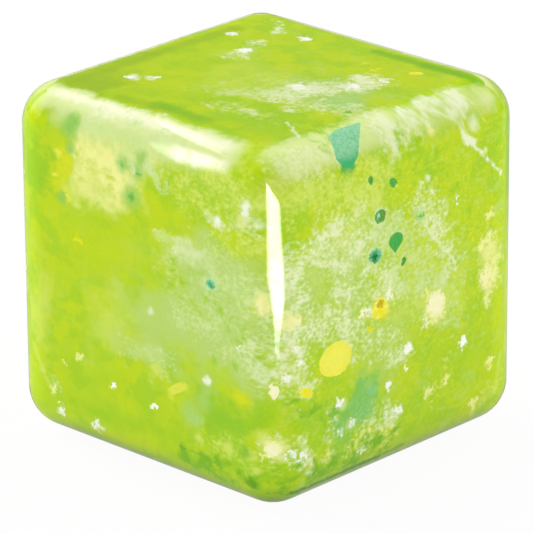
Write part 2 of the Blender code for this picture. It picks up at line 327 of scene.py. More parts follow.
# Cloudy core: the lime block, with the haze, frost, streaks and bits that show in it, the painted highlight
# bands along its rounded upper edges and the painted dark edge lines.
# Places are pixels of the photograph. Widths and sizes are in millimetres.
cloudyCore = {
    "inset": 0.015 * mm, "radius": 1.785 * mm, "segments": 10, "roughness": 0.6,
    "farTop": 9.93,  # height over the middle where the clouds of the far sides end
    "leftToRight": (-2.5, 2.5),  # x plus y, from the smooth left side to the rough right one
    # noises: share of the scale to the sides, shift, scale, detail, roughness and distortion
    "noises": {
        "clouds": (0.75, (0.0, 0.0, 0.0), 0.4, 3.0, 0.5, 0.0),
        "tufts": (0.75, (0.0, 0.0, 0.0), 1.1, 6.0, 0.62, 0.4),
        "grain": (0.75, (11.0, 5.0, 23.0), 4.6, 3.0, 0.6, 0.0),
        "moss": (0.75, (3.0, 29.0, 13.0), 1.5, 5.0, 0.62, 0.3),
        "leaves": (0.75, (2.0, 9.0, 41.0), 0.7, 4.0, 0.55, 0.0),
        "drift": (1.0, (31.0, 7.0, 3.0), 0.32, 4.0, 0.55, 0.0),
    },
    "streakSlope": -53,  # degrees, down to the right on the right side
    "streakStretch": (1.6, 1.7, 0.7), "streakNoise": (1.0, 4.0, 0.55, 0.3),
    "woolTufts": 0.55,  # share of tufts in the wool, where the rest is grain
    # edges wander with a broad and a fine noise: the two scales, and how far each kind of edge goes
    "broadScale": 0.5, "fineScale": 2.2,
    "raggedBroad": 3.2, "raggedFine": 1.4, "crumblyFine": 1.8, "steadyFine": 0.6,
    # mottled lime: colour, noise, where that begins to show and shows fully, and strength
    "mottles": (
        ("yellowLime", "clouds", 0.45, 0.6, 0.7), ("leaf", "drift", 0.5, 0.66, 0.5),
        ("leaf", "leaves", 0.48, 0.6, 0.65),
    ),
    # fine mottles over the soft areas: the same, and what is added to their share
    "fineMottles": (
        ("leaf", "moss", 0.48, 0.62, 0.42, 0.0), ("hazePale", "tufts", 0.52, 0.66, 0.25, 0.0),
        ("paleLime", "grain", 0.48, 0.64, 0.25, 0.06),
    ),
    # their share on the flat top, on the left and low down, and the heights where it changes
    "mottleTop": 0.4, "mottleLeft": 0.15, "mottleLow": 0.6,
    "topHeights": (9.9, 9.0), "lowHeights": (-7.0, 1.0),
    # soft areas: reach into the block, and how far clouds and tufts move their edges, tufts left and right
    "areaDepth": 2.6, "cloudSwing": 1.8, "tuftSwing": (0.5, 1.5),
    # haze and sheen bands, painted highlight with haze: softness of the upper edge and of the ends, outwards
    # and inwards, and how far tufts move them
    "bandTop": (0.1, 0.35), "bandEnd": (0.8, 0.4), "bandTufts": 3.0,
    # zones: the noise of each kind, the part of the width that is full, how much the noise thickens there,
    # where it begins to show and shows fully, and the thickness under which it fades
    "zoneNoises": {"frost": "wool", "streaks": "streaks", "moss": "moss"},
    "zoneFull": 0.1, "zoneThicken": 0.22, "zoneRange": (0.52, 0.8), "zoneFade": 0.3,
    # lines, spots and bits: the part of the size that is full, and strength
    "lineFull": 0.2, "spotFull": 0.1, "spotStrength": 0.8, "bitFull": 0.35, "bitStrength": 0.9,
    # pixels to the millimetre, across and up a side. The reach of an area on the top is in millimetres.
    "scale": {"left": (11.8, 15.6), "right": (11.8, 15.6), "top": (1.0, 1.0)},
    "colours": {
        "lime": tone(184, 213, 48), "leaf": tone(162, 206, 50), "yellowLime": tone(194, 216, 40),
        "yellow": tone(228, 226, 46), "paleYellow": tone(240, 241, 152), "paleLime": tone(212, 228, 108),
        "haze": tone(186, 214, 118), "hazePale": tone(208, 228, 154), "mint": tone(166, 212, 128),
        "frost": tone(232, 240, 196), "white": tone(251, 252, 240), "cream": tone(248, 248, 216),
        "bandLime": tone(222, 234, 163), "olive": tone(156, 188, 50), "dark": tone(96, 156, 48),
        "teal": tone(136, 198, 88), "moss": tone(132, 188, 52), "deepLeaf": tone(148, 200, 54),
        "fern": tone(146, 200, 92), "mist": tone(172, 211, 106), "jade": tone(75, 176, 84),
        "aqua": tone(136, 206, 150), "sunny": tone(214, 222, 44), "straw": tone(219, 228, 80),
    },
    # soft areas: side, colour, middle, reach, softness of the edge and strength
    "patches": (
        ("left", "yellowLime", (105, 252), (75, 45), 0.9, 0.7),
        ("left", "yellowLime", (158, 216), (36, 32), 0.9, 0.9),
        ("left", "leaf", (225, 200), (46, 34), 0.9, 0.2),
        ("left", "paleYellow", (108, 170), (56, 48), 0.9, 0.95),
        ("left", "paleYellow", (84, 190), (28, 26), 0.9, 0.6),
        ("left", "paleYellow", (98, 162), (34, 28), 0.9, 0.95),
        ("left", "hazePale", (139, 166), (26, 24), 0.9, 0.7),
        ("left", "paleLime", (248, 153), (20, 14), 0.9, 0.8),
        ("left", "paleYellow", (150, 152), (24, 16), 0.9, 0.6),
        ("left", "paleLime", (190, 248), (26, 18), 0.9, 0.6),
        ("left", "paleLime", (40, 104), (26, 14), 0.8, 0.7),
        ("left", "yellowLime", (56, 160), (22, 40), 0.7, 0.8),
        ("left", "deepLeaf", (36, 170), (22, 54), 0.5, 0.7),
        ("left", "sunny", (62, 158), (13, 20), 0.9, 0.85),
        ("left", "sunny", (61, 184), (12, 20), 0.9, 0.85),
        ("left", "paleLime", (40, 300), (22, 85), 0.9, 0.6),
        ("left", "haze", (196, 310), (90, 92), 0.95, 0.5),
        ("left", "haze", (222, 312), (60, 84), 0.8, 1),
        ("left", "haze", (212, 346), (54, 30), 0.9, 0.8),
        ("left", "haze", (164, 325), (56, 60), 0.9, 0.8),
        ("left", "paleLime", (106, 322), (46, 50), 0.9, 0.55),
        ("left", "haze", (136, 347), (36, 24), 0.9, 0.6),
        ("left", "hazePale", (146, 356), (22, 18), 0.9, 0.4),
        ("left", "hazePale", (180, 252), (34, 18), 0.9, 0.4),
        ("left", "deepLeaf", (225, 418), (42, 32), 0.8, 0.95),
        ("left", "leaf", (235, 460), (60, 34), 0.8, 0.9),
        ("left", "leaf", (130, 425), (80, 16), 0.9, 0.6),
        ("left", "leaf", (110, 390), (40, 20), 0.9, 0.3),
        ("right", "yellowLime", (400, 290), (130, 150), 0.9, 0.35),
        ("right", "yellowLime", (440, 175), (60, 50), 0.8, 0.7),
        ("right", "yellowLime", (490, 222), (24, 40), 0.9, 0.9),
        ("right", "yellowLime", (345, 200), (40, 22), 0.9, 0.6),
        ("right", "paleLime", (310, 195), (50, 30), 0.9, 0.3),
        ("right", "leaf", (492, 152), (20, 34), 0.6, 0.6),
        ("right", "paleLime", (336, 250), (44, 50), 0.7, 0.8),
        ("right", "haze", (335, 285), (60, 60), 0.8, 0.7),
        ("right", "yellowLime", (322, 292), (18, 16), 0.9, 0.3),
        ("right", "haze", (390, 345), (50, 50), 0.8, 0.5),
        ("right", "paleLime", (425, 250), (34, 34), 0.9, 0.6),
        ("right", "paleLime", (430, 290), (55, 45), 0.9, 0.6),
        ("right", "yellowLime", (430, 240), (40, 40), 0.9, 0.6),
        ("right", "leaf", (310, 425), (48, 42), 0.8, 0.8),
        ("right", "leaf", (350, 455), (56, 22), 0.8, 0.7),
        ("right", "leaf", (335, 398), (26, 20), 0.9, 0.7),
        ("right", "teal", (362, 408), (28, 34), 0.8, 0.6),
        ("right", "yellowLime", (500, 300), (14, 80), 0.8, 0.5),
        ("right", "paleYellow", (489, 266), (20, 30), 0.7, 0.7),
        # this olive patch along the top's far left edge is the same painted dark reflection
        ("top", "olive", (95, 84), (3.4, 4.6), 0.8, 0.8),
        ("top", "leaf", (255, 128), (4.5, 4), 0.8, 0.7),
        ("top", "paleLime", (250, 75), (5, 4.5), 0.7, 0.3),
        ("top", "yellowLime", (170, 80), (4, 3.4), 0.9, 0.6),
        ("top", "haze", (335, 92), (4.4, 3.6), 0.8, 0.6),
        ("top", "mint", (345, 103), (2.6, 1.8), 0.8, 0.6),
        ("top", "yellowLime", (400, 76), (3.5, 2.6), 0.9, 0.8),
    ),
    # pale bands on the rounded upper edges, painted highlight with haze, in millimetres: side, colour, ends
    # along the edge, ends across it, softness and strength
    "hazeAndSheenBands": (
        ("left", "hazePale", (-7.4, 6.6), (-1.6, 1.1), 0.8, 0.8),
        ("left", "bandLime", (-9.2, 6.6), (-2.0, 0.1), 0.5, 0.85),
        ("left", "cream", (-8.4, 5.9), (-1.6, -0.75), 0.35, 0.75),
        ("left", "cream", (2.2, 6.3), (-0.2, 0.95), 0.35, 0.9),
        ("right", "bandLime", (-8.8, 1.0), (-2.2, 0.7), 0.5, 0.7),
        ("right", "bandLime", (1.0, 7.6), (-1.6, 1.0), 0.8, 0.38),
    ),
    # woolly frost: colour, the zone's two ends, its width and its strength
    "frost": (
        # the first cream zone lies in the pale band under the left upper edge: frost together with painted
        # highlight
        ("cream", (95, 106), (170, 132), 1.3, 0.5), ("hazePale", (80, 125), (172, 150), 1.7, 0.7),
        ("paleLime", (190, 190), (262, 205), 2.8, 0.7), ("paleLime", (218, 240), (258, 250), 1.7, 0.6),
        ("frost", (180, 246), (198, 252), 0.7, 0.4), ("hazePale", (145, 164), (166, 184), 0.9, 0.7),
        ("frost", (245, 203), (245, 216), 0.8, 0.9), ("frost", (212, 221), (260, 228), 1, 0.75),
        ("frost", (157, 235), (194, 250), 0.7, 0.5), ("hazePale", (160, 262), (198, 258), 1.8, 0.5),
        ("hazePale", (205, 265), (258, 300), 2.8, 0.7), ("hazePale", (190, 300), (255, 360), 3.2, 0.5),
        ("frost", (252, 350), (265, 375), 1.3, 0.8), ("paleLime", (205, 440), (285, 466), 1.8, 0.45),
        ("hazePale", (36, 350), (55, 392), 0.8, 0.45), ("hazePale", (130, 350), (165, 366), 1.5, 0.5),
        ("frost", (300, 262), (352, 214), 2, 0.8), ("frost", (322, 250), (352, 302), 2.2, 0.65),
        ("frost", (288, 285), (300, 260), 1.6, 0.85), ("frost", (288, 300), (300, 380), 2, 0.85),
        ("frost", (305, 318), (352, 338), 2.2, 0.75), ("frost", (350, 230), (385, 300), 2.8, 0.6),
        ("frost", (415, 200), (450, 255), 2.2, 0.5), ("frost", (372, 122), (400, 138), 1.6, 0.75),
        ("frost", (290, 165), (345, 150), 1.6, 0.75), ("paleLime", (290, 190), (380, 185), 2.4, 0.8),
        ("hazePale", (395, 240), (440, 300), 3, 0.7), ("frost", (335, 424), (395, 415), 1.2, 0.6),
        ("aqua", (344, 420), (368, 396), 1.6, 0.8), ("frost", (275, 450), (312, 460), 1.4, 0.85),
        ("paleYellow", (330, 452), (385, 436), 1.2, 0.7), ("paleLime", (478, 398), (502, 375), 0.9, 0.6),
        ("paleYellow", (486, 246), (490, 290), 1.4, 0.9), ("paleYellow", (446, 345), (435, 395), 1, 0.3),
        ("paleYellow", (430, 296), (440, 316), 0.9, 1), ("frost", (345, 345), (400, 350), 2, 0.5),
        ("frost", (285, 95), (366, 83), 2.4, 1), ("frost", (295, 106), (352, 108), 1.8, 0.6),
        ("frost", (238, 54), (255, 44), 1.4, 0.6), ("hazePale", (235, 92), (280, 90), 1.8, 0.7),
        ("frost", (272, 24), (274, 32), 0.8, 0.9), ("frost", (215, 104), (270, 120), 1.6, 0.5),
        ("hazePale", (215, 88), (290, 80), 2.4, 0.3),
    ),
    # slanting frost streaks and dark moss: the same
    "streaks": (
        ("frost", (405, 117), (470, 100), 1.7, 0.55), ("frost", (440, 116), (472, 136), 1, 0.5),
        ("frost", (390, 138), (425, 132), 1, 0.5),
    ),
    "moss": (
        ("moss", (190, 455), (270, 484), 1.4, 0.9), ("yellowLime", (80, 165), (135, 190), 2, 0.25),
        ("moss", (300, 475), (385, 440), 1.3, 0.9), ("moss", (300, 405), (350, 420), 1.4, 0.6),
        ("teal", (346, 422), (368, 394), 2, 0.7), ("leaf", (405, 150), (450, 180), 1.8, 0.7),
        ("leaf", (300, 195), (390, 195), 2, 0.2), ("leaf", (195, 190), (255, 235), 2.4, 0.3),
        ("leaf", (180, 280), (255, 350), 2.6, 0.3), ("leaf", (230, 105), (330, 130), 2.6, 0.7),
    ),
    # lines: colour, two ends, width and strength
    "lines": (
        ("hazePale", (156, 234), (190, 246), 0.4, 0.5), ("frost", (176, 250), (200, 255), 0.4, 0.35),
        ("frost", (450, 116), (466, 138), 0.16, 0.6), ("frost", (464, 136), (501, 172), 0.2, 0.95),
        ("frost", (425, 226), (455, 262), 0.16, 0.6), ("frost", (448, 206), (440, 236), 0.14, 0.4),
        ("paleLime", (500, 355), (494, 392), 0.35, 0.35),
        # the dark lines along the bottom right edge, here and on the next line, are painted shade
        ("paleLime", (494, 392), (472, 405), 0.35, 0.35), ("dark", (290, 493), (378, 456.5), 0.3, 0.9),
        ("dark", (378, 456.5), (402, 445), 0.25, 0.5), ("paleLime", (34, 345), (50, 386), 0.35, 0.4),
        # these olive and moss lines along the top's far edges are painted dark reflection: the rounded edges
        # show dark surroundings there
        ("olive", (68, 80), (150, 54), 1.2, 0.7), ("olive", (150, 54), (235, 28), 0.9, 0.6),
        ("moss", (378, 52), (474, 80), 0.8, 0.8), ("moss", (425, 66), (478, 82), 0.6, 0.7),
        ("olive", (120, 97), (165, 109), 0.7, 0.5), ("moss", (158, 104), (206, 121), 0.8, 0.7),
        ("leaf", (206, 122), (240, 139), 0.6, 0.5), ("frost", (287, 122), (299, 137), 0.18, 0.7),
    ),
    # soft spots: colour, place and size
    "spots": (
        ("frost", (150.5, 311), 0.4), ("paleLime", (156, 369), 0.7), ("aqua", (210, 284), 0.8),
        ("frost", (281, 356), 0.4), ("frost", (283, 368), 0.4), ("frost", (276, 350), 0.35),
        ("frost", (274, 374), 0.35), ("yellow", (383, 313), 0.75), ("fern", (420, 215), 0.6),
        ("paleYellow", (262, 306), 0.8), ("paleYellow", (288, 322), 0.9), ("frost", (413, 121), 0.5),
        ("frost", (451, 93), 0.7), ("frost", (419, 106), 0.55), ("frost", (434, 101), 0.7),
        ("frost", (474, 123), 0.65), ("frost", (384, 122), 0.8), ("frost", (394, 145), 0.6),
        ("paleYellow", (431, 130), 0.5), ("bandLime", (486, 98), 1.2), ("frost", (428, 178), 0.35),
        ("paleYellow", (485, 151), 0.35), ("jade", (343, 169), 0.5), ("jade", (348, 167), 0.6),
        ("jade", (352, 165), 0.4), ("teal", (359, 401), 1.3), ("teal", (352, 416), 1),
        ("hazePale", (350, 424), 0.6), ("hazePale", (343, 405), 0.6), ("paleLime", (199, 438), 0.6),
        ("paleLime", (228, 448), 0.7), ("paleLime", (262, 437), 0.7), ("paleLime", (250, 456), 0.7),
        ("paleLime", (256, 471), 0.5), ("paleYellow", (275, 449), 1.1), ("white", (207, 381), 0.5),
        ("white", (245, 207), 0.55), ("white", (217, 222), 0.5), ("frost", (258, 226), 0.4),
        ("frost", (134, 75), 0.45), ("frost", (135, 77), 0.45), ("frost", (136, 79), 0.45),
        ("frost", (149.5, 77), 0.38), ("frost", (150.5, 79), 0.38), ("fern", (123, 164), 0.85),
        ("fern", (141, 159), 0.8), ("fern", (136, 172), 0.85), ("fern", (131, 197), 1.15),
        ("fern", (69, 127), 1.1), ("fern", (73, 121), 0.8), ("fern", (71, 149), 0.6),
        ("fern", (62, 197), 0.7), ("leaf", (215, 361), 0.5), ("leaf", (236, 366), 0.5),
        ("mist", (191, 413), 1.4), ("mist", (204, 402), 1), ("mist", (206, 390), 0.7),
        ("moss", (183, 457), 0.7), ("moss", (245, 453), 0.6), ("dark", (252, 484), 0.6),
        ("straw", (58, 153), 0.5), ("straw", (65, 188), 0.5), ("straw", (170, 394), 0.5),
        ("straw", (185, 387), 0.5), ("sunny", (237, 396), 0.8), ("sunny", (245, 400), 0.8),
        ("paleYellow", (262, 298), 0.6),
    ),
    # small bits by colour: place and size
    "bits": {
        "white": (
            ((408, 348), 0.5), ((407, 368), 0.25), ((462, 342), 0.4), ((388, 385), 0.35),
            ((340, 404), 0.45), ((352, 421), 0.4), ((292, 454), 0.4), ((302, 457), 0.35),
            ((300, 346), 0.35), ((299, 364), 0.4), ((288, 377), 0.35), ((456, 201), 0.3),
            ((340, 432), 0.3), ((363, 450), 0.35), ((398, 410), 0.45), ((240, 347), 0.3),
            ((62, 413), 0.45), ((98, 426), 0.5), ((233, 34), 0.5), ((246, 50), 0.6), ((297, 86), 0.7),
            ((352, 86), 0.6), ((386, 81), 0.5), ((305, 38), 0.5),
        ),
        "hazePale": (
            ((380.5, 216), 0.85), ((375.5, 256.5), 0.9), ((210, 284), 0.9), ((421, 214), 0.6),
            ((167, 185), 0.3), ((148, 168), 0.5), ((131, 168), 0.5), ((133, 181), 0.5),
        ),
        "cream": (
            ((389, 296), 0.5), ((368, 312), 0.5), ((436, 296), 0.6), ((438, 312), 0.5),
            ((426, 324), 0.35),
        ),
        "paleYellow": (
            ((446, 380), 0.5), ((429, 391), 0.5), ((490, 362), 0.5), ((474, 402), 0.5), ((490, 215), 0.5),
            ((490, 235), 0.45), ((432, 322), 0.4), ((428, 296), 0.4), ((55, 390), 0.4), ((80, 358), 0.35),
            ((66, 364), 0.3), ((262, 458), 0.35),
        ),
        "yellow": (
            ((499, 148), 0.25), ((372, 330), 0.4), ((342, 190), 0.2), ((470, 235), 0.35),
            ((367, 63), 0.4), ((375, 70), 0.4), ((78, 240), 0.4),
        ),
    },
}
coreShape = halfWidth("cloudy_core") - cloudyCore["inset"] / mm, cloudyCore["radius"] / mm


def onCore(pixel):
    # where a line of sight meets the core, bent by the clear coat
    spot, way, face = onCoat(pixel)
    bend, slant = 1 / clearCoat["ior"], -way.dot(face)
    way = way * bend + face * (bend * slant - math.sqrt(1 - bend ** 2 * (1 - slant ** 2)))
    return meet(spot, way, *coreShape)


def coreWires(start, values):
    # the places and noises that the layers of the core's paint share
    at = cubePlace(start)
    x, y, z = (start.node("SeparateXYZ", None, {"Vector": at}, part) for part in "XYZ")
    # the two far sides repeat the clouds of the near ones, half a turn round
    behind = start.work("GREATER_THAN", y - x, 0.0) * start.work("LESS_THAN", z, values["farTop"])
    turn = 1 - behind * 2
    near = at * start.node("CombineXYZ", None, {"X": turn, "Y": turn, "Z": 1.0})
    x, y, z = (start.node("SeparateXYZ", None, {"Vector": near}, part) for part in "XYZ")
    noises = {
        name: noise(at * (sideways, sideways, 1.0) + shift, *kind)
        for name, (sideways, shift, *kind) in values["noises"].items()
    }
    slant = start.node("Mapping", {"vector_type": "TEXTURE"}, {
        "Vector": at, "Scale": values["streakStretch"],
        "Rotation": (math.radians(values["streakSlope"]), 0, 0)})
    noises["streaks"] = noise(slant, *values["streakNoise"])
    noises["wool"] = noises["tufts"] * values["woolTufts"] + noises["grain"] * (1 - values["woolTufts"])
    broad, fine = push(at, values["broadScale"]), push(at, values["fineScale"])
    return SimpleNamespace(
        x=x, y=y, z=z, noises=noises, rough=smooth(x + y, *values["leftToRight"]),
        ragged=near + broad * values["raggedBroad"] + fine * values["raggedFine"],
        crumbly=near + fine * values["crumblyFine"], steady=near + fine * values["steadyFine"])


def paintMottles(colour, values, core):
    for name, kind, begin, full, strength in values["mottles"]:
        colour = mixed(colour, values["colours"][name], smooth(core.noises[kind], begin, full) * strength)
    return colour


def paintAreas(colour, values, core):
    tuftSwing = between(core.rough, *values["tuftSwing"])
    uneven = (core.noises["clouds"] - 0.5) * values["cloudSwing"] + (core.noises["tufts"] - 0.5) * tuftSwing
    deep = values["areaDepth"]
    for side, name, middle, reach, soft, strength in values["patches"]:
        across, up = (part / scale for part, scale in zip(reach, values["scale"][side]))
        reaches = {"left": (across, deep, up), "right": (deep, across, up), "top": (across, up, deep)}
        far = away(core.ragged, onCore(middle), reaches[side]) + uneven
        colour = mixed(colour, values["colours"][name], smooth(far, 1.0, 1.0 - soft) * strength)
    return colour


def paintFineMottles(colour, values, core):
    level = between(smooth(core.z, *values["topHeights"]), values["mottleTop"], 1.0)
    level = level * between(core.rough, values["mottleLeft"], 1.0)
    level = level * between(smooth(core.z, *values["lowHeights"]), values["mottleLow"], 1.0)
    for name, kind, begin, full, strength, more in values["fineMottles"]:
        share = smooth(core.noises[kind], begin, full) * strength * (level + more)
        colour = mixed(colour, values["colours"][name], share)
    return colour


def paintHazeAndSheenBands(colour, values, core):
    # the bands of painted highlight and haze follow the core's rounded upper edges
    (topOut, topIn), (endOut, endIn) = values["bandTop"], values["bandEnd"]
    swing = (core.noises["tufts"] - 0.5) * values["bandTufts"]
    for side, name, along, across, soft, strength in values["hazeAndSheenBands"]:
        down = (0 - core.y if side == "left" else core.x) - core.z + swing * soft
        run = core.x if side == "left" else core.y
        (top, bottom), (begin, end) = across, along
        share = smooth(down, top - topOut, top + topIn) * smooth(down, bottom + soft, bottom - soft)
        share = share * smooth(run, begin - endOut, begin + endIn) * smooth(run, end + endOut, end - endIn)
        colour = mixed(colour, values["colours"][name], share * strength)
    return colour


def paintZones(colour, values, core):
    # frost, streaks and moss: noises that thicken in their zones
    for kind, texture in values["zoneNoises"].items():
        for name in sorted({zone[0] for zone in values[kind]}):
            thick = None
            for zoneColour, begin, end, width, strength in values[kind]:
                if zoneColour == name:
                    far = fromLine(core.ragged, onCore(begin), onCore(end))
                    thick = largest(thick, smooth(far, width, width * values["zoneFull"]) * strength)
            share = smooth(core.noises[texture] + thick * values["zoneThicken"], *values["zoneRange"])
            share = share * smooth(thick, 0.0, values["zoneFade"])
            colour = mixed(colour, values["colours"][name], share)
    return colour


def paintDetails(colour, values, core):
    colours = values["colours"]
    for name, begin, end, width, strength in values["lines"]:
        far = fromLine(core.steady, onCore(begin), onCore(end))
        colour = mixed(colour, colours[name], smooth(far, width, width * values["lineFull"]) * strength)
    for name, spot, size in values["spots"]:
        share = smooth(away(core.steady, onCore(spot), (size,) * 3), 1.0, values["spotFull"])
        colour = mixed(colour, colours[name], share * values["spotStrength"])
    for name, places in values["bits"].items():
        nearest = None
        for spot, size in places:
            nearest = smallest(nearest, away(core.crumbly, onCore(spot), (size,) * 3))
        share = smooth(nearest, 1.0, values["bitFull"])
        colour = mixed(colour, colours[name], share * values["bitStrength"])
    return colour


def paintCore(values):
    material, start = newMaterial("cloudyLime")
    core = coreWires(start, values)
    colour = values["colours"]["lime"]
    for paint in (paintMottles, paintAreas, paintFineMottles, paintHazeAndSheenBands, paintZones, paintDetails):
        colour = paint(colour, values, core)
    finishMaterial(start, start.node("BsdfPrincipled", None, {
        "Base Color": colour, "Roughness": values["roughness"], "Specular IOR Level": 0.0}))
    return material


def makeCore(values):
    low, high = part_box("cloudy_core")
    inset = Vector((values["inset"],) * 3)
    piece = roundedCube("cloudyBlock", low + inset, high - inset, values["radius"], values["segments"])
    piece.data.materials.append(paintCore(values))
    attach(piece, "root")
    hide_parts("cloudy_core")


makeCore(cloudyCore)
print("cloudy core made")

# Chips: the CAD pieces stay, each with its own finish
chipFinish = {
    "roughness": 0.5,
    # half a thickness under which a chip is flat, and the depth that it then counts as having
    "flat": 0.35, "flatDepth": 50.0,
    # noises: scale, detail and roughness
    "grain": (3.6, 3.0, 0.6), "specks": (5.5, 2.0, 0.6), "crumbs": (16.0, 1.0, 0.55),
    "specksShift": (7.0, 19.0, 2.0), "raggedScale": 2.6, "crumbSwing": 2.6,
    # where each layer begins to show and shows fully, or how soft its edge is, and strength
    "middleSoft": 0.25, "fleckRange": (0.5, 0.62), "speckRange": (0.5, 0.6), "speckStrength": 0.85,
    "lowSoft": 0.3, "lowStrength": 0.9, "spotRange": (1.0, 0.6), "rim": 1.05,
}
# A look has the colours of the rim and the middle, how far the middle goes, flecks and specks, how ragged
# it is, and how much of the rim fades. The place of a spot is a share of the chip's half size.
chipLooks = {
    # the flake's pale upper part is partly painted highlight, where the rounded edge's sheen lies over it
    "flake": {
        "rim": tone(142, 206, 158), "middle": tone(138, 205, 154), "inner": 0.6,
        "low": tone(74, 183, 112), "fleck": tone(158, 213, 172), "flecks": 0.4, "spot": tone(66, 172, 76),
        "spotPlace": (0.0, -0.4, -0.9), "spotSize": 0.75, "speck": tone(112, 198, 138), "ragged": 0.5,
        "fade": 0,
    },
    "ringed": {
        "rim": tone(120, 196, 120), "middle": tone(92, 158, 62), "inner": 0.8, "fleck": tone(64, 160, 84),
        "flecks": 0.9, "spot": tone(160, 218, 186), "spotPlace": (0.0, -0.3, 0.15), "spotSize": 0.28,
        "speck": tone(116, 140, 58), "ragged": 0.6, "fade": 0.25, "solid": 1.0,
    },
    "eye": {
        "rim": tone(112, 198, 150), "middle": tone(80, 182, 122), "inner": 0.6,
        "fleck": tone(156, 217, 186), "flecks": 0.8, "spot": tone(40, 118, 56),
        "spotPlace": (0.0, -0.1, -0.25), "spotSize": 0.42, "speck": tone(66, 160, 84), "ragged": 0.6,
        "fade": 0.25, "solid": 1.0,
    },
    "softEye": {
        "rim": tone(124, 202, 148), "middle": tone(72, 158, 92), "inner": 0.5,
        "fleck": tone(110, 206, 176), "flecks": 0.6, "ragged": 0.6, "fade": 0.6, "solid": 1.0,
    },
    "green": {
        "rim": tone(98, 184, 88), "middle": tone(70, 172, 82), "inner": 0.7, "fleck": tone(112, 170, 60),
        "flecks": 0.7, "speck": tone(84, 150, 60), "ragged": 0.6, "fade": 0.25, "solid": 1.0,
    },
    "drop": {
        "rim": tone(98, 184, 88), "middle": tone(70, 174, 84), "inner": 0.9, "fleck": tone(112, 176, 62),
        "flecks": 0.6, "speck": tone(80, 166, 76), "ragged": 0.6, "fade": 0,
    },
    "softMoss": {
        "rim": tone(150, 199, 60), "middle": tone(124, 182, 60), "inner": 0.6, "fleck": tone(90, 160, 60),
        "flecks": 0.6, "ragged": 1.0, "fade": 0.85, "solid": 0.9,
    },
    "softTeal": {
        "rim": tone(158, 207, 110), "middle": tone(116, 186, 78), "inner": 0.45,
        "fleck": tone(138, 198, 98), "flecks": 0.5, "ragged": 0.8, "fade": 0.8, "solid": 0.9,
    },
    "smear": {
        "rim": tone(150, 203, 102), "middle": tone(142, 201, 108), "inner": 0.8,
        "fleck": tone(160, 212, 146), "flecks": 0.6, "speck": tone(128, 194, 98), "ragged": 1.6,
        "fade": 0.85, "solid": 0.85,
    },
    "mist": {
        "rim": tone(172, 210, 98), "middle": tone(174, 212, 114), "inner": 0.6,
        "fleck": tone(188, 218, 136), "flecks": 0.6, "ragged": 1.4, "fade": 0.9, "solid": 0.85,
    },
    "disc": {
        "rim": tone(240, 235, 84), "middle": tone(243, 239, 92), "inner": 0.7,
        "fleck": tone(247, 243, 112), "flecks": 0.5, "ragged": 0.4, "fade": 0.12, "solid": 1.0,
    },
    "amber": {
        "rim": tone(242, 238, 96), "middle": tone(240, 231, 46), "inner": 0.8,
        "fleck": tone(248, 244, 130), "flecks": 0.7, "spot": tone(205, 178, 44),
        "spotPlace": (0.0, 0.0, 0.35), "spotSize": 0.4, "ragged": 0.9, "fade": 0.3, "solid": 1.0,
    },
    "yellow": {
        "rim": tone(238, 234, 76), "middle": tone(239, 231, 44), "inner": 0.7,
        "fleck": tone(246, 243, 120), "flecks": 0.4, "ragged": 0.5, "fade": 0.2, "solid": 1.0,
    },
    "mellow": {
        "rim": tone(214, 225, 76), "middle": tone(220, 228, 78), "inner": 0.6,
        "fleck": tone(230, 233, 104), "flecks": 0.5, "ragged": 0.8, "fade": 0.4, "solid": 1.0,
    },
    "dimYellow": {
        "rim": tone(200, 218, 46), "middle": tone(208, 221, 46), "inner": 0.6,
        "fleck": tone(220, 226, 66), "flecks": 0.5, "ragged": 0.8, "fade": 0.6, "solid": 1.0,
    },
    "softYellow": {
        "rim": tone(224, 229, 84), "middle": tone(228, 229, 72), "inner": 0.5,
        "fleck": tone(238, 238, 128), "flecks": 0.5, "ragged": 0.9, "fade": 0.85, "solid": 0.9,
    },
    "cream": {
        "rim": tone(238, 239, 150), "middle": tone(249, 247, 206), "inner": 0.7,
        "fleck": tone(246, 243, 160), "flecks": 0.5, "ragged": 1.2, "fade": 0.5, "solid": 1.0,
    },
    "creamPiece": {
        "rim": tone(242, 243, 170), "middle": tone(247, 247, 200), "inner": 0.8,
        "fleck": tone(250, 249, 216), "flecks": 0.5, "ragged": 0.6, "fade": 0.2, "solid": 1.0,
    },
    "softCream": {
        "rim": tone(236, 237, 140), "middle": tone(244, 242, 172), "inner": 0.6,
        "fleck": tone(248, 246, 196), "flecks": 0.5, "ragged": 1.4, "fade": 0.9, "solid": 0.9,
    },
    "softWhite": {
        "rim": tone(214, 231, 172), "middle": tone(238, 245, 216), "inner": 0.7,
        "fleck": tone(248, 250, 232), "flecks": 0.5, "ragged": 1.2, "fade": 0.9, "solid": 0.9,
    },
    "white": {
        "rim": tone(240, 245, 210), "middle": tone(252, 252, 240), "inner": 0.8,
        "fleck": tone(244, 248, 218), "flecks": 0.5, "ragged": 1.2, "fade": 0.5, "solid": 1.0,
    },
}
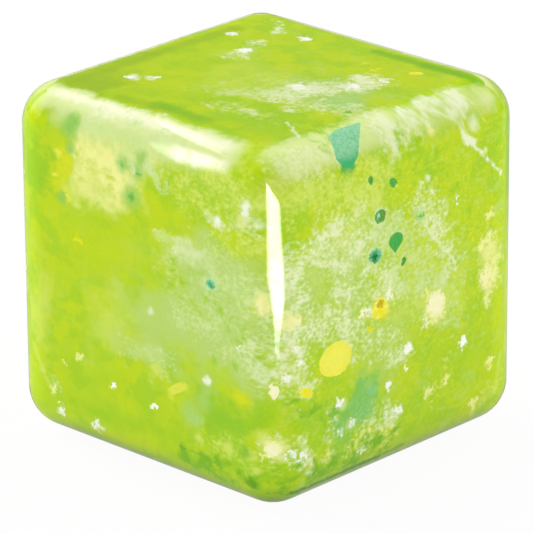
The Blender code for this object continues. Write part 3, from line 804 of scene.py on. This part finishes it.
chipNames = {
    "flake": ("teal_flake_large",),
    "ringed": ("teal_chip_2", "teal_chip_10"),
    "softEye": ("teal_chip_8",),
    "eye": ("teal_chip_3", "teal_chip_11"),
    "drop": ("teal_drop",),
    "green": ("teal_sliver_1", "teal_chip_1", "teal_sliver_3"),
    "softMoss": ("green_chip", "teal_chip_9"),
    "softTeal": (
        "teal_chip_4", "teal_chip_5", "teal_chip_6", "teal_chip_7", "teal_sliver_2", "haze_chip",
    ),
    "smear": ("teal_smear",),
    "mist": ("pale_teal_flake",),
    "disc": ("yellow_disc",),
    "amber": ("yellow_chip_amber",),
    "yellow": ("yellow_sliver_1", "yellow_chip_3", "yellow_sliver_3", "yellow_fleck_4"),
    "mellow": ("yellow_sliver_2",),
    "dimYellow": ("yellow_chip_2",),
    "softYellow": ("yellow_fleck_1", "yellow_fleck_2", "yellow_fleck_3"),
    "cream": ("cream_chip_1", "cream_chip_2", "cream_chip_7"),
    "creamPiece": ("cream_chip_5", "cream_chip_6"),
    "softCream": ("cream_chip_3", "cream_chip_4", "yellow_chip_1"),
    "softWhite": ("white_fleck_7", "white_fleck_8", "white_fleck_9", "white_fleck_14"),
    "white": (
        "white_fleck_1", "white_fleck_2", "white_fleck_3", "white_fleck_4", "white_fleck_5",
        "white_fleck_6", "white_fleck_10", "white_fleck_11", "white_fleck_12", "white_fleck_13",
        "white_fleck_15", "white_fleck_16",
    ),
}


def paintChip(name, look, values):
    low, high = (Vector(corner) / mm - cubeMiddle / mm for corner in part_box(name))
    middle, reach = (low + high) / 2, (high - low) / 2
    thin = min(range(3), key=lambda axis: reach[axis])
    if reach[thin] < values["flat"]:
        reach[thin] = values["flatDepth"]
    material, start = newMaterial(name + "_finish")
    at = cubePlace(start)
    crumbly = at + push(at, values["raggedScale"]) * look["ragged"]
    far = away(crumbly, tuple(middle), tuple(reach))
    grain = noise(at, *values["grain"])
    inner, soft = look["inner"], values["middleSoft"]
    colour = mixed(look["rim"], look["middle"], smooth(far + (grain - 0.5), inner + soft, inner - soft))
    colour = mixed(colour, look["fleck"], smooth(grain, *values["fleckRange"]) * look["flecks"])
    if "speck" in look:
        specks = noise(at + values["specksShift"], *values["specks"])
        share = smooth(specks, *values["speckRange"]) * values["speckStrength"]
        colour = mixed(colour, look["speck"], share)
    if "low" in look:
        # the lower part is deeper green, and the paler rest is partly painted highlight from the rounded
        # edge over it
        height = start.node("SeparateXYZ", None, {"Vector": crumbly}, "Z")
        soft = values["lowSoft"] * reach.z
        share = smooth(height, middle.z + soft, middle.z - soft) * values["lowStrength"]
        colour = mixed(colour, look["low"], share)
    if "spot" in look:
        spot = middle + Vector(look["spotPlace"]) * (high - low) / 2
        near = away(crumbly, tuple(spot), (look["spotSize"],) * 3)
        colour = mixed(colour, look["spot"], smooth(near, *values["spotRange"]))
    sockets = {"Base Color": colour, "Roughness": values["roughness"], "Specular IOR Level": 0.0}
    if look["fade"]:
        # the rim breaks up into grains
        solid = smooth(far, values["rim"], values["rim"] - look["fade"]) * look["solid"]
        crumbs = (noise(at, *values["crumbs"]) - 0.5) * values["crumbSwing"] + 0.5
        sockets["Alpha"] = solid.work("GREATER_THAN", solid, crumbs)
    finishMaterial(start, start.node("BsdfPrincipled", None, sockets))
    return material


def finishChips():
    for name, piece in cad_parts.items():
        if name in ("clear_shell", "base_plate", "cloudy_core"):
            continue
        kind = next(look for look, names in chipNames.items() if name in names)
        piece.data.materials.clear()
        piece.data.materials.append(paintChip(name, chipLooks[kind], chipFinish))
        piece.visible_shadow = piece.visible_diffuse = False  # a faded rim leaves no dark line on the core


finishChips()
print("chips finished")

# Studio: a white floor, an even grey surround, soft lamps and cards that only the gloss shows
studio = {
    "surround": 0.40, "glossSurround": 0.2,
    "floorSize": 6.0, "floorDrop": 0.1 * mm, "floorTone": 0.86, "floorWhite": 0.95, "floorGloss": 0.5,
    # place in millimetres from the cube's middle, width and height, and brightness
    "lamps": (
        ("softboxLeft", (-272, 0, 292), (130, 420), 6.4),
        ("softboxRight", (20, 276, 288), (320, 130), 3.7),
        ("fillLeft", (-120, -430, 62), (300, 130), 6.2),
        ("fillRight", (430, 120, 62), (300, 130), 6.2),
    ),
    "cardTint": (1.0, 1.0, 0.96, 1),
    # cards: brightness, share of the width that fades out, distance from the cube, the way to it (None takes
    # the mean of the mirrored ways) and rows. A row has the two pixels that its ends show in, and a glow.
    "cards": {
        "edgeCard": (27, 0.24, 3, (0.77, -0.64, 0.0), (
            ((266, 183), (266.9, 184), 1), ((265.5, 205), (281, 205), 1), ((265.5, 225), (281.9, 225), 1),
            ((265.6, 250), (283.6, 250), 1), ((265.8, 275), (285.2, 275), 1),
            ((269, 293), (285.6, 293), 1), ((271, 307), (285, 307), 0.9), ((272.5, 320), (283, 320), 0.7),
            ((274.3, 345), (280.2, 345), 0.3), ((275.3, 372), (279.2, 372), 0),
        )),
        "lowerStreak": (8, 0.5, 40, None, (
            ((163, 140), (163, 155), 0), ((185, 146), (185, 167), 0.55), ((200, 151), (200, 172), 1),
            ((219, 158), (219, 176), 1), ((227, 162), (227, 177), 1), ((238, 166), (238, 178), 0),
        )),
        "upperStreak": (6.5, 0.5, 40, None, (
            ((164, 116), (164, 127), 0), ((182, 124), (182, 137), 0.7), ((204, 135), (204, 148), 1),
            ((226, 146), (226, 157.5), 1), ((238, 151), (238, 163), 0),
        )),
        "leftSheen": (1.5, 0.45, 150, None, (
            ((54, 87), (54, 102), 0), ((67, 89), (67, 112), 0.5), ((120, 101), (120, 126), 1),
            ((168, 116), (168, 142), 1), ((196, 129), (196, 152), 0.8), ((232, 147), (232, 168), 0),
        )),
        "rightSheen": (1.2, 0.3, 150, None, (
            ((268, 150), (286, 178), 0), ((290, 142), (296, 174), 1), ((345, 126), (345, 160), 1),
            ((420, 106), (420, 132), 0.5), ((470, 90), (470, 112), 0),
        )),
    },
}


def makeFloor(values):
    bpy.ops.object.select_all(action="DESELECT")
    bpy.ops.mesh.primitive_plane_add(size=values["floorSize"], location=(0, 0, -values["floorDrop"]))
    floor = bpy.context.object
    floor.name = "paleFloor"
    material, start = newMaterial("paleFloor")
    matte = start.node("BsdfDiffuse", None, {"Color": (values["floorTone"],) * 3 + (1,)})
    white = start.node("Emission", None, {"Color": (1, 1, 1, 1), "Strength": 1.0})
    # the gloss sees a grey floor, so the cube's colours stay clear
    grey = start.node("Emission", None, {"Color": (values["floorGloss"],) * 3 + (1,), "Strength": 1.0})
    glossy = start.node("LightPath", None, None, "Is Glossy Ray")
    shown = start.node("MixShader", None, {0: glossy, 1: matte, 2: grey})
    seen = None
    for kind in ("Is Camera Ray", "Is Transmission Ray"):
        seen = largest(seen, start.node("LightPath", None, None, kind))
    seen = seen * values["floorWhite"]
    finishMaterial(start, start.node("MixShader", None, {0: seen, 1: shown, 2: white}))
    floor.data.materials.append(material)


def makeLamp(name, place, size, brightness):
    spot = cubeMiddle + Vector(place) * mm
    bpy.ops.object.light_add(type="AREA", location=spot)
    lamp = bpy.context.object
    lamp.name = lamp.data.name = name
    lamp.data.shape = "RECTANGLE"
    lamp.data.size, lamp.data.size_y = (side * mm for side in size)
    lamp.data.energy = brightness * math.pi * lamp.data.size * lamp.data.size_y
    lamp.rotation_euler = (cubeMiddle - spot).to_track_quat("-Z", "Y").to_euler()
    lamp.visible_camera = lamp.visible_transmission = lamp.visible_glossy = False


def mirrored(pixel):
    # where a line of sight meets the clear coat, and the way that it goes on from there
    spot, way, face = onCoat(pixel)
    return spot, way.reflect(face)


def cardEnds(distance, aim, rows):
    # the ends of each row, on a flat card that faces the mirrored highlight
    lines = [(mirrored(left), mirrored(right)) for left, right, level in rows]
    every = [line for pair in lines for line in pair]
    middle = sum((spot for spot, way in every), Vector()) / len(every)
    aim = Vector(aim) if aim else sum((way for spot, way in every), Vector())
    aim.normalize()
    middle += aim * distance
    return [[spot + way * ((middle - spot).dot(aim) / way.dot(aim)) for spot, way in pair] for pair in lines]


def makeCard(name, tint, brightness, soft, distance, aim, rows):
    # the glow of the columns falls off towards the card's sides, and a card with no glow is clear
    columns = ((0.0, 0.0), (soft / 2, 0.5), (soft, 1.0), (1 - soft, 1.0), (1 - soft / 2, 0.5), (1.0, 0.0))
    bpy.ops.object.select_all(action="DESELECT")
    bpy.ops.mesh.primitive_grid_add(x_subdivisions=len(columns) - 1, y_subdivisions=len(rows) - 1, size=mm)
    card = bpy.context.object
    card.name = card.data.name = name
    glow = card.data.attributes.new("glow", "FLOAT", "POINT")
    levels = [level for left, right, level in rows]
    for row, ((left, right), level) in enumerate(zip(cardEnds(distance, aim, rows), levels)):
        for column, (share, part) in enumerate(columns):
            index = row * len(columns) + column
            card.data.vertices[index].co = cubeMiddle + left.lerp(right, share) * mm
            glow.data[index].value = level * part
    material, start = newMaterial(name)
    clear = start.node("BsdfTransparent", None, {"Color": (1, 1, 1, 1)})
    light = start.node("Emission", None, {"Color": tint, "Strength": brightness})
    shown = start.node("Attribute", {"attribute_name": "glow"}, None, "Fac")
    finishMaterial(start, start.node("MixShader", None, {0: shown, 1: clear, 2: light}))
    card.data.materials.append(material)
    card.visible_camera = card.visible_diffuse = card.visible_transmission = card.visible_shadow = False


def makeStudio(values):
    world = bpy.data.worlds.new("surround")
    bpy.context.scene.world = world
    world.use_nodes = True
    world.node_tree.nodes.clear()
    start = Wire(world.node_tree)
    light, gloss = (
        start.node("Background", None, {"Color": (values[key],) * 3 + (1,)})
        for key in ("surround", "glossSurround"))
    glossy = start.node("LightPath", None, None, "Is Glossy Ray")
    both = start.node("MixShader", None, {0: glossy, 1: light, 2: gloss})
    start.node("OutputWorld", None, {"Surface": both})
    makeFloor(values)
    for lamp in values["lamps"]:
        makeLamp(*lamp)
    for name, card in values["cards"].items():
        makeCard(name, values["cardTint"], *card)


makeStudio(studio)
bpy.context.scene.view_settings.view_transform = "Standard"
print("studio made")

bpy.context.view_layer.update()
